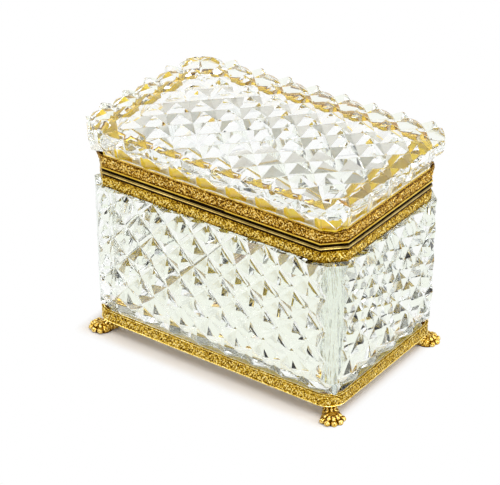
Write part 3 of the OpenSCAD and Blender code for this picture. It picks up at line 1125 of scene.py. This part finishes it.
@dataclass
class CrystalBlock(Mount):
    """A block of cut crystal: the solid's facets with their edges eased by the polishing wheel."""

    solid: Object
    seats: Profile
    rim: float
    groove: float = 0.50 * MM
    ridge: float = 0.12 * MM
    flat_angle: float = 6.0
    seat_slack: float = 0.2 * MM

    slot: ClassVar[str] = "crystal"

    def build(self) -> Object:
        """Copies the facets, joins them up and eases grooves and ridges.

        Returns:
            The block.
        """
        obj = stand("cut_" + self.node, self.solid.data.copy())
        merge_close(obj, 0.002 * MM)
        rework(obj, bpy.ops.mesh.dissolve_limited, angle_limit=math.radians(0.4))
        self.weigh_edges(obj)
        bevel = {"width": self.groove, "segments": 3, "profile": 0.5}
        apply_modifier(obj, "BEVEL", limit_method="WEIGHT", use_clamp_overlap=True, **bevel)
        apply_modifier(obj, "TRIANGULATE")
        settle(obj, 12)
        return obj

    def weigh_edges(self, obj: Object) -> None:
        """Weighs each edge for easing: hollow ones most, ridges a little, flat ones not at all.

        Args:
            obj: the block.
        """
        mesh = obj.data
        faces_of: dict[tuple[int, int], list[int]] = {}
        for polygon in mesh.polygons:
            for key in polygon.edge_keys:
                faces_of.setdefault(key, []).append(polygon.index)
        weights = np.zeros(len(mesh.edges), np.float32)
        for edge in mesh.edges:
            pair = faces_of.get(edge.key, [])
            if len(pair) != 2:
                continue
            first, second = (mesh.polygons[i] for i in pair)
            if first.normal.angle(second.normal, 0.0) < math.radians(self.flat_angle):
                continue
            hollow = (second.center - first.center).dot(first.normal) > 0
            weights[edge.index] = 1.0 if hollow else self.ridge / self.groove
        mesh.attributes.new("bevel_weight_edge", "FLOAT", "EDGE").data.foreach_set("value", weights)

    def finish_at(self, polygon: bpy.types.MeshPolygon) -> int:
        """Tells how a face is finished.

        Args:
            polygon: the face.

        Returns:
            1 on an upright seat and 2 on the level rim, where bedding clings, 3 on a canted corner, 0 elsewhere.
        """
        x, y, z = polygon.center
        tilt_x, tilt_y, tilt_z = (abs(share) for share in polygon.normal)
        outside = self.plan.outside(x, y)
        if abs(z - self.rim * MM) < self.seat_slack and tilt_z > 0.9:
            return 2
        for inset, low, high in self.seats:
            if low * MM < z < high * MM and abs(outside + inset * MM) < self.seat_slack:
                return 1
        return 3 if abs(tilt_x - tilt_y) < 0.08 and tilt_z < 0.5 and outside > -1 * MM else 0


@dataclass
class Bedding(Mount):
    """A ring of putty between a ground edge of the glass and its mount, just clear of the glass."""

    profile: Profile
    clearance: float = 0.01 * MM

    slot: ClassVar[str] = "putty"

    def build(self) -> Object:
        """Sweeps the ring from its profile, a little uneven along the way.

        Returns:
            The ring.
        """
        ring = Ring("bedding_" + self.node, self.plan, 2.0 * MM, cant_parts=8)
        out, height = (np.array(self.profile) * MM).T[:, :, None]
        sag = self.clearance * (1 + ring.drift(160, 5.0, 2.0))
        obj = ring.sweep(out - sag, height, np.zeros(len(out)), np.full((1, 1), 0.5))
        settle(obj, 35)
        return obj


@dataclass
class Fittings:
    """Solids that show as they are, all in one finish."""

    nodes: tuple[str, ...]

    def dress(self, solids: dict[str, Object], finish: Material) -> None:
        """Gives each fitting its finish.

        Args:
            solids: the solids by name.
            finish: the finish.
        """
        for node in self.nodes:
            for entry in solids[node].material_slots:
                entry.material = finish
            LOG.info("dressed %s", node)


# ---- studio


@dataclass(frozen=True)
class Lamp:
    """A square soft lamp that points at the casket."""

    name: str
    place: Triple
    size: float
    power: float
    colour: Colour
    aim: Triple = (0, 0, 0.07)

    def add(self) -> None:
        """Adds the lamp, which the camera doesn't see."""
        data = bpy.data.lights.new(self.name, "AREA")
        data.shape = "SQUARE"
        data.size = self.size
        data.energy = self.power
        data.color = self.colour
        lamp = stand(self.name, data)
        turn = (Vector(self.aim) - Vector(self.place)).to_track_quat("-Z", "Y")
        lamp.matrix_world = Matrix.Translation(self.place) @ turn.to_matrix().to_4x4()
        lamp.visible_camera = False


@dataclass
class Studio:
    """Floor, soft lamps, white surroundings and the camera."""

    place: Triple = (0.65218, -0.91237, 0.71337)
    right: Triple = (0.80991, 0.58655, -0.00224)
    up: Triple = (-0.29167, 0.40604, 0.86606)
    back: Triple = (0.50890, -0.70078, 0.49993)
    lens: float = 154.13
    ambient: float = 0.59
    horizon_dim: float = 0.88
    dim_from: float = 0.10
    dim_to: float = 0.80
    zenith_from: float = 0.45
    # Painted shade on the floor near the casket, seen through the glass, and how far it reaches.
    painted_near_shade: Colour = (0.88, 0.92, 0.80)
    painted_shade_reach: float = 0.14
    paper: tuple[Colour, Colour] = ((0.965, 0.925, 0.88), (0.985, 0.95, 0.91))
    footprint: tuple[float, float] = (0.088, 0.054)
    shadow_lean: tuple[float, float] = (0.005, 0.003)
    shadow_reach: float = 0.010
    lamps: tuple[Lamp, ...] = (
        Lamp("key_lamp", (0.60, -0.42, 1.25), 0.9, 9.0, (1.0, 0.99, 0.97)),
        Lamp("fill_lamp", (-0.95, -0.60, 0.95), 0.8, 3.0, (0.97, 0.98, 1.0)),
        Lamp("side_lamp", (1.30, 0.25, 0.55), 0.7, 4.8, (1.0, 0.99, 0.97)),
    )

    def add_camera(self) -> None:
        """Adds the camera."""
        data = bpy.data.cameras.new("camera")
        data.sensor_width = 36.0
        data.sensor_fit = "HORIZONTAL"
        data.lens = self.lens
        data.clip_start = 0.01
        camera = stand("camera", data)
        turn = Matrix((self.right, self.up, self.back)).transposed().to_4x4()
        camera.matrix_world = Matrix.Translation(self.place) @ turn
        bpy.context.scene.camera = camera

    def add_world(self) -> None:
        """Surrounds the casket with white, dimmer where it only lights."""
        world = bpy.data.worlds.new("studio")
        bpy.context.scene.world = world
        world.use_nodes = True
        world.node_tree.nodes.clear()
        graph = Graph(world.node_tree)
        seen, through = graph.rays()
        level = graph.spread(seen, 0.0, 1.0, self.ambient, 1.0)
        way = graph.node("ShaderNodeTexCoord").outputs["Generated"]
        height = graph.node("ShaderNodeSeparateXYZ", {"Vector": way}).outputs["Z"]
        climb = graph.spread(height, 0.0, self.zenith_from, self.horizon_dim, 1.0)
        strength = graph.math("MAXIMUM", level, graph.math("MULTIPLY", through, climb))
        glow = graph.node("ShaderNodeBackground", {"Color": (*WHITE, 1.0), "Strength": strength})
        graph.node("ShaderNodeOutputWorld", {"Surface": glow.outputs["Background"]})

    def add_floor(self) -> None:
        """Adds a pale floor that keeps the casket's shadow and is white further out; through the glass it glows,
        with a painted green-grey shade near the casket.
        """
        start_clean()
        bpy.ops.mesh.primitive_plane_add(size=6.0, location=(0, 0, -0.0002))
        floor = shape_up("floor")
        recipe = Recipe("pale_floor")
        dark, light = self.paper
        paper = recipe.ramp(recipe.noise(60.0, 3.0), (0.3, dark), (0.7, light))
        recipe.coat({"Roughness": 0.9, "Specular IOR Level": 0.0, "Base Color": paper})
        place = recipe.node("ShaderNodeTexCoord").outputs["Object"]
        folded = recipe.vector("ABSOLUTE", recipe.vector("ADD", place, (*self.shadow_lean, 0.0)))
        beyond = recipe.vector("MAXIMUM", recipe.vector("SUBTRACT", folded, (*self.footprint, 0.0)))
        length = recipe.node("ShaderNodeVectorMath", {0: beyond}, operation="LENGTH").outputs["Value"]
        away = recipe.spread(length, 0.0, self.shadow_reach, 0.0, 1.0, interpolation_type="SMOOTHSTEP")
        seen, through = recipe.rays()
        factor = recipe.math("MAXIMUM", recipe.math("MULTIPLY", away, seen), through)
        # Through the glass the floor glows, with painted shade tinted green-grey near the casket.
        nearness = recipe.spread(length, 0.0, self.painted_shade_reach, 0.0, 1.0)
        near_shaded = recipe.ramp(nearness, (0.0, self.painted_near_shade), (1.0, WHITE))
        dimmed = recipe.spread(length, self.dim_from, self.dim_to, 0.0, self.horizon_dim - 1)
        strength = recipe.math("ADD", recipe.math("MULTIPLY", dimmed, through), 1.0)
        colour = recipe.mix(through, (*WHITE, 1.0), near_shaded)
        white = recipe.node("ShaderNodeEmission", {"Color": colour, "Strength": strength})
        blend = {0: factor, 1: recipe.shader.outputs["BSDF"], 2: white.outputs["Emission"]}
        blended = recipe.node("ShaderNodeMixShader", blend)
        recipe.feed(recipe.output, {"Surface": blended.outputs["Shader"]})
        floor.data.materials.append(recipe.material)

    def build(self) -> None:
        """Builds the studio."""
        self.add_camera()
        self.add_world()
        self.add_floor()
        for lamp in self.lamps:
            lamp.add()
        scene = bpy.context.scene
        scene.view_settings.view_transform = "Standard"
        scene.cycles.max_bounces = 28
        scene.cycles.transmission_bounces = 24
        scene.cycles.glossy_bounces = 12
        scene.cycles.diffuse_bounces = 4
        LOG.info("built the studio")


def main() -> None:
    """Builds the casket piece by piece."""
    logging.basicConfig(level=logging.INFO, format="%(name)s: %(message)s")
    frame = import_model()
    nodes = frame["nodes"]
    plan = Plan()

    crystal = CutCrystal().mix()
    streaked = CutCrystal(name="cut_crystal_corner", streaked=True).mix()
    chased = ChasedGilt().mix()
    rich = ChasedGilt("chased_gilt_rich", (0.055, 0.014, 0.0), (0.50, 0.24, 0.010), (1.0, 0.66, 0.10)).mix()
    cast = ChasedGilt(
        "cast_gilt", (0.05, 0.014, 0.0), (0.40, 0.20, 0.010), (0.86, 0.58, 0.10), (1.0, 0.86, 0.40), grit=0.24,
    ).mix()
    burnished = BurnishedGilt().mix()
    fillet = BurnishedGilt("burnished_fillet", (0.72, 0.45, 0.035), (0.96, 0.70, 0.13)).mix()
    plain = BurnishedGilt("burnished_plain", (0.30, 0.17, 0.035), (0.66, 0.43, 0.10), has_relief=False).mix()
    bright = BurnishedGilt("burnished_bright", (0.80, 0.54, 0.09), (1.0, 0.78, 0.22), has_relief=False).mix()
    # Leaf and pale metal alternate on the upstand to paint the gold domes that each scallop refracts.
    leaf = GrainedFinish("painted_dome_gilt", Grain.LEAF, (1.0, 0.66, 0.0), (1.0, 0.80, 0.01)).mix()
    dome_gap = GrainedFinish("painted_dome_gap", Grain.LEAF, (0.95, 0.92, 0.84), (1.0, 0.98, 0.93)).mix()
    pale_bond = GrainedFinish("bonded_neck", Grain.BOND, (0.93, 0.91, 0.84), (0.98, 0.97, 0.93), 0.85).mix()
    gold_bond = GrainedFinish("bonded_rim", Grain.BOND, (0.92, 0.60, 0.03), (1.0, 0.78, 0.10), 0.85).mix()
    lumpy = {"metallic": 0.0, "lump_depth": 0.1 * MM}
    putty = GrainedFinish("setting_putty", Grain.PUTTY, (0.82, 0.56, 0.02), (0.98, 0.78, 0.08), **lumpy).mix()
    pale_putty = GrainedFinish("pale_putty", Grain.PUTTY, (0.90, 0.84, 0.62), (0.98, 0.95, 0.84), **lumpy).mix()
    steel = GrainedFinish("drawn_steel", Grain.STEEL, (0.34, 0.34, 0.35), (0.56, 0.57, 0.58)).mix()

    scroll = Chasing(Ornament.RUNNING_SCROLL, 7.2 * MM, 12.5 * MM, 3.0)
    leaves = Chasing(Ornament.FOLIAGE, 7.4 * MM, 9.5 * MM, 11.0)
    low_leaves = Chasing(Ornament.FOLIAGE, 8.3 * MM, 8.0 * MM, 29.0)
    extras = {"notch": (25 * MM, 1 * MM, 1.2 * MM), "upstand": (11.3 * MM, 12.4 * MM), "step": 1.5 * MM}
    lid_rim = PlainRim("lid_frame", "lid", plan, "lid_frieze", 1.8 * MM, FILLET, upward=True, **extras)
    body_rim = PlainRim("body_frame", "casket", plan, "body_frieze", 3.9 * MM, REEDS, upward=False)
    pattern = PawPattern().build()

    body = CrystalBlock("glass_body", "casket", plan, nodes["glass_body"], BODY_SEATS, BODY_RIM)
    lid = CrystalBlock("glass_lid", "lid", plan, nodes["glass_lid"], LID_SEATS, LID_RIM)
    pieces: list[tuple[Mount, tuple[Material, ...]]] = [
        (body, (crystal, pale_bond, gold_bond, streaked)),
        (lid, (crystal, pale_bond, gold_bond, crystal)),
        (ChasedBand("lid_frieze", "lid", plan, scroll, round_top=0.9), (rich,)),
        (ChasedBand("body_frieze", "casket", plan, leaves), (chased,)),
        (body_rim, (burnished,)),
        (lid_rim, (fillet, leaf, dome_gap)),
        (Gallery("base_gallery", "casket", plan, low_leaves), (chased,)),
        *((PawFoot(corner.node, "casket", plan, corner, pattern), (cast,)) for corner in Foot),
        (Bedding("body_cement", "casket", plan, BODY_BED), (putty,)),
        (Bedding("lid_cement", "lid", plan, LID_BED), (pale_putty,)),
        (Bedding("base_cement", "casket", plan, BASE_BED), (putty,)),
    ]
    for piece, finishes in pieces:
        obj = piece.build()
        piece.dress(obj, *finishes)
        LOG.info("made %s: %d faces", obj.name, len(obj.data.polygons))
    bpy.data.objects.remove(pattern)

    Fittings(("body_hinge_leaf", "lid_hinge_leaf")).dress(nodes, plain)
    Fittings(("body_hinge_rivets", "lid_hinge_rivets", "foot_screws")).dress(nodes, bright)
    Fittings(("hinge_pin",)).dress(nodes, steel)
    Studio().build()


if __name__ == "__main__":
    main()
